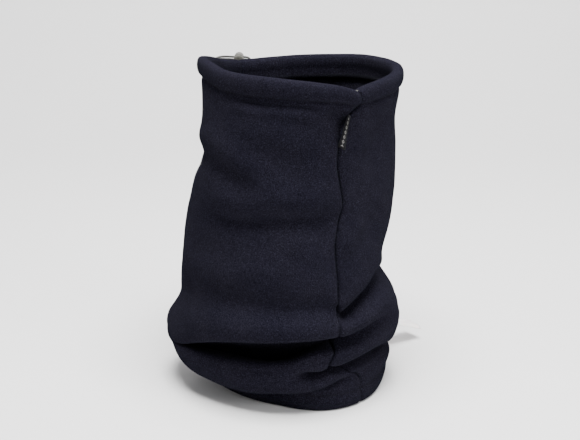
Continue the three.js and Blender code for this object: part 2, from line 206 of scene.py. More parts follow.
def fleece_finish():
    """Brushed pile: fine tufts in two sizes, matted in soft patches."""
    finish = Finish("pile_fleece", Roughness=1.0, Specular_IOR_Level=0.0, Sheen_Weight=0.012,
                    Sheen_Roughness=0.5, Sheen_Tint=(0.75, 0.76, 0.9, 1))
    tufts = finish.noise(1700, detail=2, roughness=0.6)
    clumps = finish.noise(950, detail=1, roughness=0.5)
    patches = finish.noise(28, detail=3, roughness=0.6)
    grain = tufts * 0.75 + clumps * 0.25
    pile = finish.ramp(grain, [(0.36, (0.0024, 0.0023, 0.0038)),
                               (0.52, (0.0080, 0.0077, 0.0126)),
                               (0.68, (0.0215, 0.0208, 0.0320))])
    worn = finish.ramp(patches, [(0.3, (0.86, 0.86, 0.9)), (0.7, (1.12, 1.1, 1.08))])
    tinted = finish.node("ShaderNodeVectorMath", {"operation": "MULTIPLY"}, {0: pile, 1: worn})
    finish.set("Base Color", tinted)
    finish.bump(grain, 1.0, 0.0012)
    return finish.material


def thread_finish():
    """Twisted polyester sewing thread."""
    finish = Finish("sewing_thread", Roughness=0.8, Specular_IOR_Level=0.06)
    u, v, _ = finish.parts_of(finish.uv())
    ply = (u * 2 + v * 260).math("FRACT")
    finish.colour(ply, [(0.0, (0.002, 0.002, 0.0035)), (0.5, (0.0055, 0.0055, 0.0085))])
    finish.bump(ply, 0.4, 0.0002)
    return finish.material


def elastic_finish():
    """A braided cover of dark olive yarns over round elastic."""
    finish = Finish("braided_elastic", Roughness=0.7, Sheen_Weight=0.25, Sheen_Roughness=0.4)
    u, v, _ = finish.parts_of(finish.uv())
    turn = u * (4 * 2 * math.pi)
    rise = v * (330 * 2 * math.pi)
    braid = (turn + rise).math("SINE") * (turn - rise).math("SINE")
    finish.colour(braid * 0.5 + 0.5, [(0.1, (0.008, 0.008, 0.007)), (0.9, (0.045, 0.043, 0.036))])
    finish.bump(braid, 0.6, 0.0003)
    return finish.material


def lock_finish():
    """Moulded acetal with a fine spark-eroded texture and rubbed edges."""
    finish = Finish("lock_plastic", Specular_IOR_Level=0.45)
    grain = finish.noise(2600, detail=2)
    rubs = finish.noise(160, detail=4, roughness=0.7)
    finish.colour(rubs, [(0.35, (0.040, 0.039, 0.033)), (0.7, (0.085, 0.082, 0.070))])
    finish.set("Roughness", 0.34 + rubs * 0.22)
    finish.bump(grain, 0.25, 0.0001)
    return finish.material


def steel_finish():
    finish = Finish("spring_steel", Metallic=1.0)
    streaks = finish.noise(900, detail=3)
    finish.colour(streaks, [(0.3, (0.42, 0.42, 0.43)), (0.7, (0.62, 0.62, 0.63))])
    finish.set("Roughness", 0.24 + streaks * 0.2)
    return finish.material


def flag_finish():
    """A damask-woven label: black satin with two columns of hollow pale lozenges."""
    finish = Finish("woven_flag", Roughness=0.75, Specular_IOR_Level=0.2)
    u, v, _ = finish.parts_of(finish.uv())
    across = ((u - 0.5).math("ABSOLUTE") - 0.22).math("ABSOLUTE")
    along = ((v * 7).math("FRACT") - 0.5).math("ABSOLUTE")
    from_middle = across + along * 0.26
    lozenge = (0.11 - from_middle) > 0
    hollow = (0.045 - from_middle) > 0
    inside = (0.43 - (v - 0.5).math("ABSOLUTE")) > 0
    threads = (v * (90 * 2 * math.pi)).math("SINE") * (u * (36 * 2 * math.pi)).math("SINE")
    pale = (lozenge - hollow) * inside
    finish.set("Base Color", finish.mix(pale, (0.007, 0.007, 0.009), (0.24, 0.235, 0.225)))
    finish.bump(threads, 0.35, 0.0002)
    return finish.material


def care_finish():
    """Slit-edge satin, a plain off-white."""
    finish = Finish("care_satin", Sheen_Weight=0.2, Sheen_Roughness=0.3, Subsurface_Weight=0.15,
                    Subsurface_Scale=0.001)
    u, v, _ = finish.parts_of(finish.uv())
    floats = (v * (120 * 2 * math.pi) + u * 40).math("SINE") * (u * (70 * 2 * math.pi)).math("SINE")
    soiling = finish.noise(90, detail=3)
    finish.colour(soiling, [(0.3, (0.84, 0.79, 0.785)), (0.7, (0.93, 0.90, 0.895))])
    finish.set("Roughness", 0.38 + soiling * 0.2)
    finish.bump(floats, 0.2, 0.0002)
    return finish.material


def floor_finish():
    finish = Finish("paper_sweep", Roughness=0.8, Specular_IOR_Level=0.2)
    shade = finish.noise(1.5, detail=2)
    finish.colour(shade, [(0.3, (0.72, 0.715, 0.715)), (0.7, (0.745, 0.74, 0.738))])
    return finish.material


# ---- mesh helpers

def smooth_object(name, bm, material):
    mesh = bpy.data.meshes.new(name)
    bm.to_mesh(mesh)
    bm.free()
    mesh.polygons.foreach_set("use_smooth", [True] * len(mesh.polygons))
    mesh.materials.append(material)
    obj = bpy.data.objects.new(name, mesh)
    bpy.context.scene.collection.objects.link(obj)
    return obj


def finish_piece(name, bm, material, body, replaced):
    """A bmesh in millimetres as a named piece in metres, which rides on a CAD body."""
    bmesh.ops.scale(bm, vec=(MM, MM, MM), verts=bm.verts)
    obj = smooth_object(name, bm, material)
    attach(obj, body)
    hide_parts(*replaced)
    return obj


def grid_bmesh(points, wrap=False, weights=None):
    """A bmesh grid through points[i][j], with its own UV map.

    wrap joins the first and last i. weights, one for each i, go to the first vertex group.
    """
    columns, rows = points.shape[:2]
    bm = bmesh.new()
    bm.loops.layers.uv.new("along")
    groups = bm.verts.layers.deform.new()
    bmesh.ops.create_grid(bm, x_segments=columns - 1, y_segments=rows - 1, size=0.5, calc_uvs=True)
    for vert in bm.verts:
        i = round((vert.co.x + 0.5) * (columns - 1))
        j = round((vert.co.y + 0.5) * (rows - 1))
        vert.co = points[i, j]
        if weights is not None:
            vert[groups][0] = weights[i]
    if wrap:
        bmesh.ops.remove_doubles(bm, verts=bm.verts, dist=1e-5)
    return bm


def lerp(start, end, share):
    return start + (end - start) * share


def unit(vectors):
    return vectors / np.maximum(np.linalg.norm(vectors, axis=-1, keepdims=True), 1e-9)


def smooth_path(points, steps):
    """A Catmull-Rom curve through points, stepped evenly between each two."""
    p = np.asarray(points, float)
    p = np.vstack([2 * p[0] - p[1], p, 2 * p[-1] - p[-2]])
    t = (np.arange(steps) / steps)[None, :, None]
    a, b, c, d = (p[i:len(p) - 3 + i, None, :] for i in range(4))
    bend = (2 * a - 5 * b + 4 * c - d) * t**2 + (3 * b - a - 3 * c + d) * t**3
    curve = 0.5 * (2 * b + (c - a) * t + bend)
    return np.vstack([curve.reshape(-1, 3), p[-2]])


END_SHARE = 0.35  # of a tube's radius that is left at its ends


def tube_points(path, radius, sides):
    """Rings round a path, narrower at its ends, as a grid whose first and last columns meet."""
    path = np.asarray(path, float)
    tangents = unit(np.gradient(path, axis=0))
    side = unit(np.cross(tangents[0], [0.3, 0.2, 1]))
    radii = np.full(len(path), float(radius))
    radii[0] = radii[-1] = END_SHARE * radius
    angles = np.linspace(0, 2 * math.pi, sides + 1)
    rings = np.empty((sides + 1, len(path), 3))
    for j, (point, tangent) in enumerate(zip(path, tangents)):
        side = unit(side - tangent * np.dot(side, tangent))
        other = np.cross(tangent, side)
        for i, angle in enumerate(angles):
            rings[i, j] = point + radii[j] * (math.cos(angle) * side + math.sin(angle) * other)
    return rings


def tube_bmesh(path, radius, sides):
    bm = grid_bmesh(tube_points(path, radius, sides), wrap=True)
    bmesh.ops.holes_fill(bm, edges=[e for e in bm.edges if e.is_boundary], sides=sides)
    bmesh.ops.recalc_face_normals(bm, faces=bm.faces)
    return bm


def join_bmeshes(parts):
    joined = bmesh.new()
    for part in parts:
        scratch = bpy.data.meshes.new("scratch")
        part.to_mesh(scratch)
        part.free()
        joined.from_mesh(scratch)
        bpy.data.meshes.remove(scratch)
    return joined


def add_modifier(obj, kind, **settings):
    modifier = obj.modifiers.new(kind.lower(), kind)
    for key, value in settings.items():
        setattr(modifier, key, value)
    return modifier


# ---- the fleece wall

# Closed lines round the tube, from the floor up, through points: heading, offset from the tube's radius,
# and height where it changes along the line.
HEM_FOOT = [(-147, -4), (-121, -5), (-95, -9), (-74, -17), (-55, -21), (-40, -22), (-20, -21),
            (-7, -18.5), (8, -11), (21, -5), (34, -2), (47, -1.5), (80, -3.5), (103, 0), (130, 0),
            (155, -1)]
HEM_TOP = [(-147, -2, 19), (-121, -2, 18), (-95, -5, 16), (-74, -15, 15.5), (-50, -19, 15.5),
           (-30, -20, 15.5), (-10, -18, 16), (5, -12, 17.5), (12, -9, 18), (20, -5, 19),
           (26, -2.5, 20.5), (32, -1.5, 21.5), (40, -0.5, 22), (50, 0, 23), (66, 1, 23),
           (80, 0.5, 22), (95, 2, 21), (124, 2, 20), (155, 1, 20)]
FOLD_LINES = [
    # hollow under the fourth fold
    [(-147, -2, 23), (-121, 0, 22), (-95, 0, 19), (-74, -12, 18), (-50, -19, 18.5),
     (-30, -22, 18.5), (-10, -21, 19), (5, -17, 20), (12, -14, 20.5), (20, -10.5, 22),
     (26, -7, 24.5), (31, -4, 26.5), (36, -1.2, 27), (42, -0.5, 26), (50, 0, 27), (66, 1, 27),
     (80, 0.5, 25), (95, 1, 24), (124, 1, 24), (155, 0, 24)],
    # fourth fold's edge
    [(-147, 2, 26), (-121, 4, 25), (-95, 7, 22), (-84, 8, 21.5), (-72, 7, 21.5), (-60, 5, 20.5),
     (-50, 2, 19.5), (-40, 0, 18.8), (-30, -0.5, 18.8), (-10, -1, 20.3), (5, -1, 21.2),
     (12, -1, 22), (20, -1.5, 24), (26, -2, 26.5), (31, -2, 28.3), (36, -1, 29), (42, -0.5, 29.5),
     (50, -0.5, 30.5), (66, -0.5, 30.5), (80, -1.5, 28), (95, -2, 27), (124, -1, 27),
     (155, -1, 27)],
    # its belly
    [(-147, 4.5, 30), (-121, 7, 29), (-95, 12, 28), (-72, 12.5, 27), (-60, 10, 26), (-50, 6, 25),
     (-30, 3, 26), (-10, 2.5, 27), (5, 2, 27.5), (12, 1.5, 28), (20, 1.5, 30), (26, 1, 31.5),
     (31, 0.5, 32.5), (36, 0.5, 32.5), (42, 0, 33), (50, -1, 34), (66, -2, 34), (80, -4, 31),
     (95, -4, 31), (124, -3, 31), (155, -1, 30)],
    # hollow under the third fold
    [(-147, 6, 34), (-121, 9.5, 33), (-95, 15, 33), (-72, 14, 31), (-50, 7.5, 30), (-30, 3.5, 31.5),
     (-10, 2.5, 33), (0, 1.5, 34), (6, -3, 36), (12, -9, 36.5), (20, -9, 37.5), (26, -8, 38.5),
     (31, -8, 39), (36, -8, 39.5), (42, -8, 40), (50, -8, 40), (60, -8, 39), (72, -8, 35.5),
     (85, -7, 32.5), (95, -6, 33), (124, -5, 33), (155, 0, 33)],
    # third fold's edge
    [(-147, 7, 38), (-121, 11, 37), (-95, 17, 38), (-72, 14.5, 35), (-50, 7.5, 35),
     (-30, 2.5, 36.5), (-10, 1.5, 38), (0, 2, 40), (6, 2, 41.5), (12, 2, 40.5), (17, 2, 39.8),
     (22, 2, 42), (28, 2, 42), (33, 2, 43.3), (42, 2, 45.3), (50, 2.5, 46.5), (58, 3, 46.5),
     (66, 3, 44.5), (78, 3, 39.5), (90, 2, 37), (105, 1, 37), (124, 2, 37.5), (155, 4, 37)],
    # its belly
    [(-147, 7, 42), (-121, 12, 42), (-95, 20, 45), (-84, 19.5, 41), (-72, 14, 39.5), (-60, 9.5, 41),
     (-50, 5, 42), (-30, 0.5, 43), (-10, 0, 44.5), (2, 1, 47.5), (10, 3, 52.5), (16, 3.5, 54.5),
     (22, 4, 54), (28, 4.5, 52), (35, 5, 52), (42, 5, 53.5), (50, 6, 55), (58, 7, 55), (66, 8, 54),
     (78, 8, 52), (90, 7, 48), (105, 5, 46), (124, 5, 46), (155, 7, 44)],
    # deep hollow under the second fold
    [(-147, 1, 52), (-121, 8, 51), (-95, 20, 50), (-84, 18, 45), (-76, 10, 39.5), (-68, -4, 37),
     (-60, -13, 35.5), (-50, -22, 34), (-30, -30, 32), (-10, -32, 33), (5, -27, 41), (14, -20, 50),
     (22, -13, 57), (28, -10, 62.5), (35, -7, 64), (42, -4, 66.5), (50, 0, 69.5), (58, 4.5, 70),
     (66, 8, 66), (78, 9, 60), (90, 6, 55), (105, 0, 53), (124, -2, 53), (155, -1, 54)],
    # underside of the second fold's lip
    [(-147, 4, 56), (-121, 11, 54), (-95, 20, 52.5), (-84, 19.5, 47), (-76, 14.5, 40.5),
     (-68, 6, 42.5), (-60, 0, 48), (-50, -4, 54), (-30, -6, 63), (-10, -6, 67.5), (5, -5, 69),
     (14, -4, 69), (22, -1.5, 67.5), (28, 0, 66), (35, 2, 67), (42, 3.5, 69.5), (50, 5, 72.5),
     (58, 7, 73), (66, 9, 69.5), (78, 9, 64), (90, 7, 58.5), (105, 4, 56.5), (124, 3, 57),
     (155, 3.5, 57.5)],
    # second fold's edge
    [(-147, 7, 59), (-121, 13, 56), (-95, 18.5, 55), (-84, 19, 49), (-76, 17, 42.5),
     (-68, 13.5, 44.5), (-60, 11, 50), (-50, 10.5, 55.5), (-30, 10.5, 64), (-10, 11, 68.3),
     (5, 11, 69.8), (14, 10.5, 70), (22, 9, 69.5), (28, 7, 68.5), (35, 7, 69.5), (42, 7, 71.5),
     (50, 7.5, 74.2), (58, 8.5, 74.5), (66, 9.5, 71), (78, 8.5, 66), (90, 7, 61), (105, 6, 59),
     (124, 6, 60), (155, 6, 60)],
    # its belly
    [(-147, 9, 68), (-121, 13, 64), (-95, 14, 62), (-84, 15, 60), (-72, 13.5, 61), (-60, 12, 66),
     (-50, 12, 71), (-30, 12.5, 76), (-10, 12.5, 78), (14, 12, 78.5), (22, 10.5, 76.5),
     (28, 8.5, 74.5), (35, 9, 75), (42, 9.5, 79), (50, 9.5, 83), (58, 9, 84.5), (66, 8, 82),
     (78, 5.5, 78), (90, 4, 74), (105, 7, 69), (124, 9, 68), (155, 9, 70)],
    # hollow under the first fold
    [(-147, 7, 78), (-121, 9, 74), (-95, 9, 72), (-84, 7, 77), (-72, 4, 87), (-60, 3, 92),
     (-47, 2.5, 94), (-23, 2.5, 94), (0, 2.5, 93), (20, 3, 90), (25, 2, 88), (29, -5, 81.5),
     (34, -8, 83), (40, -9, 88), (46, -9, 93), (54, -10, 99), (62, -11.5, 102), (72, -12.5, 101),
     (85, -13, 98), (100, -9, 96), (124, -4, 92), (155, 3, 88)],
    # first fold's edge
    [(-147, 6, 88), (-121, 7, 84), (-95, 7, 83), (-84, 7, 88), (-72, 6, 99), (-50, 5.5, 108),
     (-23, 5.5, 109), (0, 5.5, 108), (18, 5.5, 105), (25, 5, 96), (28, 3, 89.5), (32, 2.5, 91.3),
     (39, 2, 97), (46, 1.5, 102), (52, 0.5, 107), (60, -1.5, 110.5), (72, -5.5, 109), (85, -9, 107),
     (100, -8, 105), (124, -5, 102), (155, 1, 97)],
    # its belly
    [(-147, 5, 99), (-121, 6, 97), (-95, 6, 97), (-72, 6.5, 112), (-50, 6, 121), (-23, 6, 122),
     (0, 5.5, 121), (20, 4.5, 116), (28, 3.5, 104), (34, 3.5, 103), (42, 3, 108), (50, 1.5, 114),
     (60, -1, 119), (72, -5, 119), (85, -7.5, 118), (100, -8, 116), (124, -6, 112), (155, 0, 108)],
]
# The body above the folds: each line's height, and its points.
BODY_LINES = [
    (140, [(-147, 2.5), (-121, 3), (-95, 1.5), (-72, 2), (-50, 2), (-10, 1.5), (30, 0), (62, -0.8),
           (85, -1.2), (100, -2), (124, -2.5), (155, -0.5)]),
    (170, [(-147, 1), (-121, -1), (-95, -5.5), (-72, -2.5), (-50, 0.5), (-10, 0), (30, -1), (62, 0),
           (85, 1.8), (124, 0), (155, 0)]),
    (200, [(-147, -1), (-121, -7), (-95, -13), (-72, -8.5), (-50, -2), (-10, -1), (30, -1.5),
           (62, 0), (85, 1.5), (124, 0), (155, 1)]),
    (226, [(-147, -3), (-121, -8), (-95, -14), (-72, -11), (-50, -5), (-10, -1.5), (30, -1),
           (62, 0), (85, 0.5), (124, 0.5), (155, 0)]),
]
# The rim: heading, offset, height, without the dip at the front seam.
RIM = [(-151, -3, 254), (-135, -6, 257), (-115, -10, 264), (-86, -13.3, 270.5), (-57, -11.5, 271.5),
       (-45, -9.5, 270), (-28, -6.5, 269.5), (-9, -3.5, 269), (7, -1.4, 267.5), (22, 0.8, 265.5),
       (35, 2, 264), (48, 2.3, 263), (58, 2.6, 262.8), (88, 3, 262.6), (118, 3.6, 261),
       (134, 3.4, 260), (154, 1.3, 257.5), (172, -1, 256), (191, -2.5, 254.5)]
RIM_DIP = 6.2
RIM_DIP_HEADING = 35.5
RIM_DIP_WIDTH = 11  # degrees
CHANNEL_DEPTHS = [(-147, 14), (-95, 15), (-40, 15), (0, 14.5), (20, 13), (31, 11.5), (45, 12.5),
                  (70, 14), (95, 14.5), (155, 14)]
CHANNEL_PUFF = 3.6  # middle of the channel to the middle of either layer
TURNED_EDGE = 5
HEM_DEPTH = 14

# The front seam's headings at the wall's lines, from the outside of the hem to just below the rim.
SEAM_HEADINGS = [45, 45, 44, 42, 40, 35, 28, 21, 24, 25.5, 25.5, 25.5, 25.5, 26, 26, 26, 25, 30,
                 26.5, 27.5, 35, 37.5, 38, 37, 36]
SEAM_PULL = 30  # degrees to either side over which the cloth follows the seam

# Soft ridges and hollows pressed into the body: points of heading and height, rise and half width.
CREASES = [
    ([(-104, 203), (-92, 205), (-62, 214), (-49, 217), (-36, 213), (-21, 203), (-6, 190)], 2.6, 9),
    ([(-110, 190), (-92, 191), (-66, 199), (-50, 200), (-38, 194), (-26, 183), (-16, 170)], -3.6, 12),
    ([(-56, 215), (-36, 209), (-23, 198), (-13, 188)], 0.9, 2.6),
    ([(-56, 174), (-25, 176), (-10, 179), (10, 179), (34, 175)], 3.6, 12),
    ([(-56, 156), (-25, 157), (-10, 160), (10, 161), (34, 159)], -5.4, 9),
    ([(30, 132), (36, 147), (42, 158)], 2.6, 6.5),
    ([(46, 134), (52, 150), (60, 164)], -2.2, 11),
    ([(40, 236), (42, 222), (44, 208)], 2, 8),
    ([(56, 232), (60, 224), (52, 212), (44, 200)], -2.4, 12),
    ([(18, 243), (24, 240), (28, 236), (27, 224)], -3.2, 5),
    ([(-36, 250), (-20, 248.3), (5, 247.6), (18, 244.3)], -2.2, 2),
    ([(-40, 246), (-20, 243.6), (5, 242.8), (16, 240)], 1.8, 3.4),
    ([(-30, 238), (-8, 226), (12, 214)], 2, 12),
    ([(-20, 220), (0, 208), (14, 198)], -1.8, 12),
    ([(-70, 128), (-45, 124), (-20, 128)], -2, 12),
    ([(-5, 146), (10, 140), (22, 131)], 1.8, 10),
]


def hermite(start, end, leave, arrive, t):
    """A cubic's value at t between its ends, whose slopes are leave and arrive."""
    return (start * (1 + 2 * t) * (1 - t)**2 + leave * t * (1 - t)**2
            + end * t**2 * (3 - 2 * t) + arrive * t**2 * (t - 1))


def closed_curve(rows, headings):
    """Values at the headings on a smooth closed curve through rows of a heading and its values."""
    rows = np.array(sorted(rows), float)
    knots = np.concatenate([rows[-2:, 0] - 360, rows[:, 0], rows[:2, 0] + 360])
    values = np.concatenate([rows[-2:, 1:], rows[:, 1:], rows[:2, 1:]])
    slopes = np.gradient(values, knots, axis=0)
    at = (np.asarray(headings, float) - knots[1]) % 360 + knots[1]
    i = np.clip(np.searchsorted(knots, at, side="right") - 1, 0, len(knots) - 2)
    span = (knots[i + 1] - knots[i])[:, None]
    t = (at - knots[i])[:, None] / span
    return hermite(values[i], values[i + 1], slopes[i] * span, slopes[i + 1] * span, t)


def level_line(rows, height, out=0.0):
    """A line that stays at one height."""
    def at(headings):
        offsets = closed_curve(rows, headings)[:, 0] + out
        return np.column_stack([offsets, np.full(len(offsets), float(height))])
    return at


def hem_line(out, height):
    return level_line(HEM_FOOT, height, out)


def fold_line(rows):
    return lambda headings: closed_curve(rows, headings)


def rim_at(headings):
    rim = closed_curve(RIM, headings)
    from_seam = np.abs(np.asarray(headings) - RIM_DIP_HEADING)
    rim[:, 1] -= RIM_DIP * np.exp(-from_seam / RIM_DIP_WIDTH)
    return rim


def channel_line(out, share, extra=0.0):
    """A line on the channel: out from its middle, and down by a share of its depth and some more."""
    def at(headings):
        depth = closed_curve(CHANNEL_DEPTHS, headings)[:, 0]
        rim = rim_at(headings)
        return np.column_stack([rim[:, 0] + out, rim[:, 1] - share * depth - extra])
    return at


WALL_LINES = [
    hem_line(-LAYER_STEP, HEM_DEPTH + 3),
    hem_line(-LAYER_STEP, HEM_DEPTH - 1),
    hem_line(-LAYER_STEP - 0.4, HEM_DEPTH / 2),
    hem_line(-LAYER_STEP, 2.9),
    hem_line(-LAYER_STEP / 2, FLEECE / 2 + 0.05),
    hem_line(0, 2.9),
    hem_line(0.7, HEM_DEPTH / 2),
    hem_line(0, HEM_DEPTH),
    fold_line(HEM_TOP),
    *[fold_line(rows) for rows in FOLD_LINES],
    *[level_line(rows, height) for height, rows in BODY_LINES],
    channel_line(0.2, 1, 3),
    channel_line(-0.5, 1),
    channel_line(2.5, 0.78),
    channel_line(CHANNEL_PUFF, 0.45),
    channel_line(CHANNEL_PUFF * 0.72, 0.12),
    channel_line(0, 0, FLEECE / 2),
    channel_line(-CHANNEL_PUFF * 0.72, 0.12),
    channel_line(-CHANNEL_PUFF, 0.45),
    channel_line(-2.9, 0.78),
    channel_line(-LAYER_STEP, 1),
    channel_line(-LAYER_STEP, 1, TURNED_EDGE),
]
HEM_STITCH_LINE = 7
BODY_START_LINE = HEM_STITCH_LINE + 2 + len(FOLD_LINES) - 1
CHANNEL_FOOT_LINE = HEM_STITCH_LINE + 2 + len(FOLD_LINES) + len(BODY_LINES)
CHANNEL_STITCH_LINE = CHANNEL_FOOT_LINE + 1
RIM_LINE = CHANNEL_STITCH_LINE + 4
INNER_STITCH_LINE = RIM_LINE + 4
LAST_LINE = len(WALL_LINES) - 1
ROW_LENGTH = 1.7  # most between two rows of the wall
PANEL_COLUMNS = 150


def seam_heading(line):
    """The front seam's heading at a line of the wall, which may be between two of the wall's lines."""
    listed = HEM_STITCH_LINE - 1 + np.arange(len(SEAM_HEADINGS))
    return float(np.interp(line, listed, SEAM_HEADINGS))


def row_stations():
    """Stations up the wall, as fractional line numbers, about ROW_LENGTH apart."""
    sample = np.arange(-180, 180, 15.0)
    lines = [line(sample) for line in WALL_LINES]
    stations = []
    for k in range(LAST_LINE):
        length = np.linalg.norm(lines[k + 1] - lines[k], axis=1).mean()
        steps = max(2, math.ceil(length / ROW_LENGTH))
        stations += [k + i / steps for i in range(steps)]
    return stations + [float(LAST_LINE)]


STATIONS = row_stations()


def wall_row(headings, station):
    """Radius and height of the wall at the headings, on one station."""
    k = min(int(station), LAST_LINE - 1)
    b, c = WALL_LINES[k](headings), WALL_LINES[k + 1](headings)
    a = WALL_LINES[k - 1](headings) if k > 0 else 2 * b - c
    d = WALL_LINES[k + 2](headings) if k + 2 <= LAST_LINE else 2 * c - b
    before, between, after = (np.maximum(np.linalg.norm(q - p, axis=1, keepdims=True), 0.2)**0.5
                              for p, q in ((a, b), (b, c), (c, d)))
    leave = ((b - a) / before - (c - a) / (before + between) + (c - b) / between) * between
    arrive = ((c - b) / between - (d - b) / (between + after) + (d - c) / after) * between
    row = hermite(b, c, leave, arrive, station - k)
    row[:, 0] += TUBE_RADIUS
    return row


def smooth_step(value, low, high):
    t = np.clip((value - low) / (high - low), 0, 1)
    return t * t * (3 - 2 * t)


def crease_lift(headings, heights):
    """How far the creases raise the wall at each place."""
    lift = np.zeros_like(heights)
    across = np.radians(headings) * TUBE_RADIUS
    for points, rise, width in CREASES:
        line = np.array([(math.radians(h) * TUBE_RADIUS, z) for h, z in points])
        nearest = np.full(heights.shape, 1e9)
        place = np.zeros(heights.shape)
        for i, (start, end) in enumerate(zip(line[:-1], line[1:])):
            step = end - start
            share = ((across - start[0]) * step[0] + (heights - start[1]) * step[1]) / (step @ step)
            share = np.clip(share, 0, 1)
            away = np.hypot(across - start[0] - share * step[0], heights - start[1] - share * step[1])
            closer = away < nearest
            nearest = np.where(closer, away, nearest)
            place = np.where(closer, (i + share) / (len(line) - 1), place)
        taper = smooth_step(place, -0.02, 0.22) * smooth_step(1 - place, -0.02, 0.22)
        lift += rise * taper * np.exp(-(nearest / width)**2)
    return lift


def grid_normals(points):
    across = np.gradient(points, axis=0)
    up = np.gradient(points, axis=1)
    return unit(np.cross(across, up))


class Panel:
    """Half of the wall between two seams, as a grid of points in the middle of the fleece."""

    PRESSED = 0.45  # share of the fleece's thickness that is left where a seam presses it
    PRESSED_REACH = 3.2  # from a seam to cloth at its full thickness
    SEAM_EDGE = FLEECE / 2 * PRESSED  # seam to the edge column
    ALLOWANCE = (1.0, 2.2, 3.6, 5.0)  # depths of the columns that turn in at a seam
    FOLDED_ALLOWANCE = 0.18  # share of those depths where the cloth lies double
    EDGE_CROWDING = 0.44  # how much closer the columns stand at the seams
    GROOVES = ((1.1, 0.8), (0.35, 3))  # depth and width, beside a seam
    SLACK = ((0.55, 34), (0.22, 13))  # rise and size of soft dents
    HELD_SLACK = 0.35  # share of the slack where stitches hold the cloth

    def __init__(self, start, end):
        width = abs(end - start) / 360 * 2 * math.pi * TUBE_RADIUS
        edge = self.SEAM_EDGE / width
        even = np.linspace(0, 1, PANEL_COLUMNS)
        crowded = even - self.EDGE_CROWDING * np.sin(2 * math.pi * even) / (2 * math.pi)
        self.across = edge + crowded * (1 - 2 * edge)
        self.width = width
        self.headings = np.empty((PANEL_COLUMNS, len(STATIONS)))
        points = np.empty((PANEL_COLUMNS, len(STATIONS), 3))
        base = start + self.across * (end - start)
        share_pulled = np.exp(-((base - FRONT_SEAM) / SEAM_PULL)**2)
        for j, station in enumerate(STATIONS):
            headings = base + (seam_heading(station) - FRONT_SEAM) * share_pulled
            row = wall_row(headings, station)
            angles = np.radians(headings)
            points[:, j, 0] = row[:, 0] * np.sin(angles)
            points[:, j, 1] = -row[:, 0] * np.cos(angles)
            points[:, j, 2] = row[:, 1]
            self.headings[:, j] = headings
        self.points = points
        self.normals = grid_normals(points)
        self.shape_cloth()

    def shape_cloth(self):
        """Creases, slack and the seams' grooves, as moves along the normals."""
        stations = np.array(STATIONS)[None, :]
        on_body = smooth_step(stations, BODY_START_LINE - 1, BODY_START_LINE + 0.6)
        below_stitch = 1 - smooth_step(stations, CHANNEL_STITCH_LINE - 0.7, CHANNEL_STITCH_LINE)
        lift = crease_lift(self.headings, self.points[:, :, 2]) * on_body * below_stitch
        free = smooth_step(stations, HEM_STITCH_LINE, HEM_STITCH_LINE + 2) * below_stitch
        for i in range(self.points.shape[0]):
            for j in range(self.points.shape[1]):
                place = Vector(self.points[i, j])
                slack = sum(rise * noise.noise(place / size) for rise, size in self.SLACK)
                lift[i, j] += slack * lerp(self.HELD_SLACK, 1, free[0, j])
        from_seam = np.minimum(self.across, 1 - self.across)[:, None] * self.width
        for depth, reach in self.GROOVES:
            lift -= depth * np.exp(-((from_seam - self.SEAM_EDGE) / reach)**2) * free
        self.points = self.points + self.normals * lift[:, :, None]
        self.points[:, :, 2] = np.maximum(self.points[:, :, 2], FLEECE / 2)
        self.normals = grid_normals(self.points)

    def with_allowances(self):
        """The grid with a strip at either seam that turns in, as the seam's sewn allowance."""
        stations = np.array(STATIONS)
        single = (smooth_step(stations, HEM_STITCH_LINE, HEM_STITCH_LINE + 1)
                  * (1 - smooth_step(stations, CHANNEL_FOOT_LINE - 1, CHANNEL_FOOT_LINE)))
        turned = lerp(self.FOLDED_ALLOWANCE, 1, single)[:, None]
        strips = [[self.points[column] - self.normals[column] * (depth * turned)
                   for depth in self.ALLOWANCE]
                  for column in (0, -1)]
        return np.stack([*reversed(strips[0]), *self.points, *strips[1]])

    def thickness_shares(self):
        """The share of the fleece's thickness at each column of the grid with allowances."""
        from_seam = np.minimum(self.across, 1 - self.across) * self.width
        open_cloth = smooth_step(from_seam, self.SEAM_EDGE, self.PRESSED_REACH)
        sewn = np.full(len(self.ALLOWANCE), self.PRESSED)
        return np.concatenate([sewn, self.PRESSED + (1 - self.PRESSED) * open_cloth, sewn])

    def at(self, across, station, lift=0.0):
        """A point on the cloth's middle, or beside it by lift, in the tube's coordinates."""
        u = float(np.interp(across, self.across, np.arange(len(self.across))))
        v = float(np.interp(station, STATIONS, np.arange(len(STATIONS))))
        i, j = min(int(u), len(self.across) - 2), min(int(v), len(STATIONS) - 2)
        s, t = u - i, v - j
        weights = [(i, j, (1 - s) * (1 - t)), (i + 1, j, s * (1 - t)),
                   (i, j + 1, (1 - s) * t), (i + 1, j + 1, s * t)]
        point = sum(self.points[a, b] * w for a, b, w in weights)
        normal = unit(sum(self.normals[a, b] * w for a, b, w in weights))
        return point + normal * lift

    def station_at_height(self, across, height):
        """The station of the body, above the folds, at a height."""
        u = int(round(float(np.interp(across, self.across, np.arange(len(self.across))))))
        first = next(j for j, s in enumerate(STATIONS) if s >= BODY_START_LINE)
        last = next(j for j, s in enumerate(STATIONS) if s >= CHANNEL_STITCH_LINE)
        return float(np.interp(height, self.points[u, first:last, 2], STATIONS[first:last]))


def make_panel(name, panel, node, fleece, hole=None):
    """A panel of fleece. hole, if given, takes faces out of its bmesh."""
    bm = grid_bmesh(panel.with_allowances() + TUBE_AXIS, weights=panel.thickness_shares())
    if hole:
        hole(bm)
    obj = finish_piece(name, bm, fleece, "root", [node])
    obj.vertex_groups.new(name="thickness")
    add_modifier(obj, "SOLIDIFY", thickness=FLEECE * MM, offset=0.0, vertex_group="thickness")


# ---- sewing

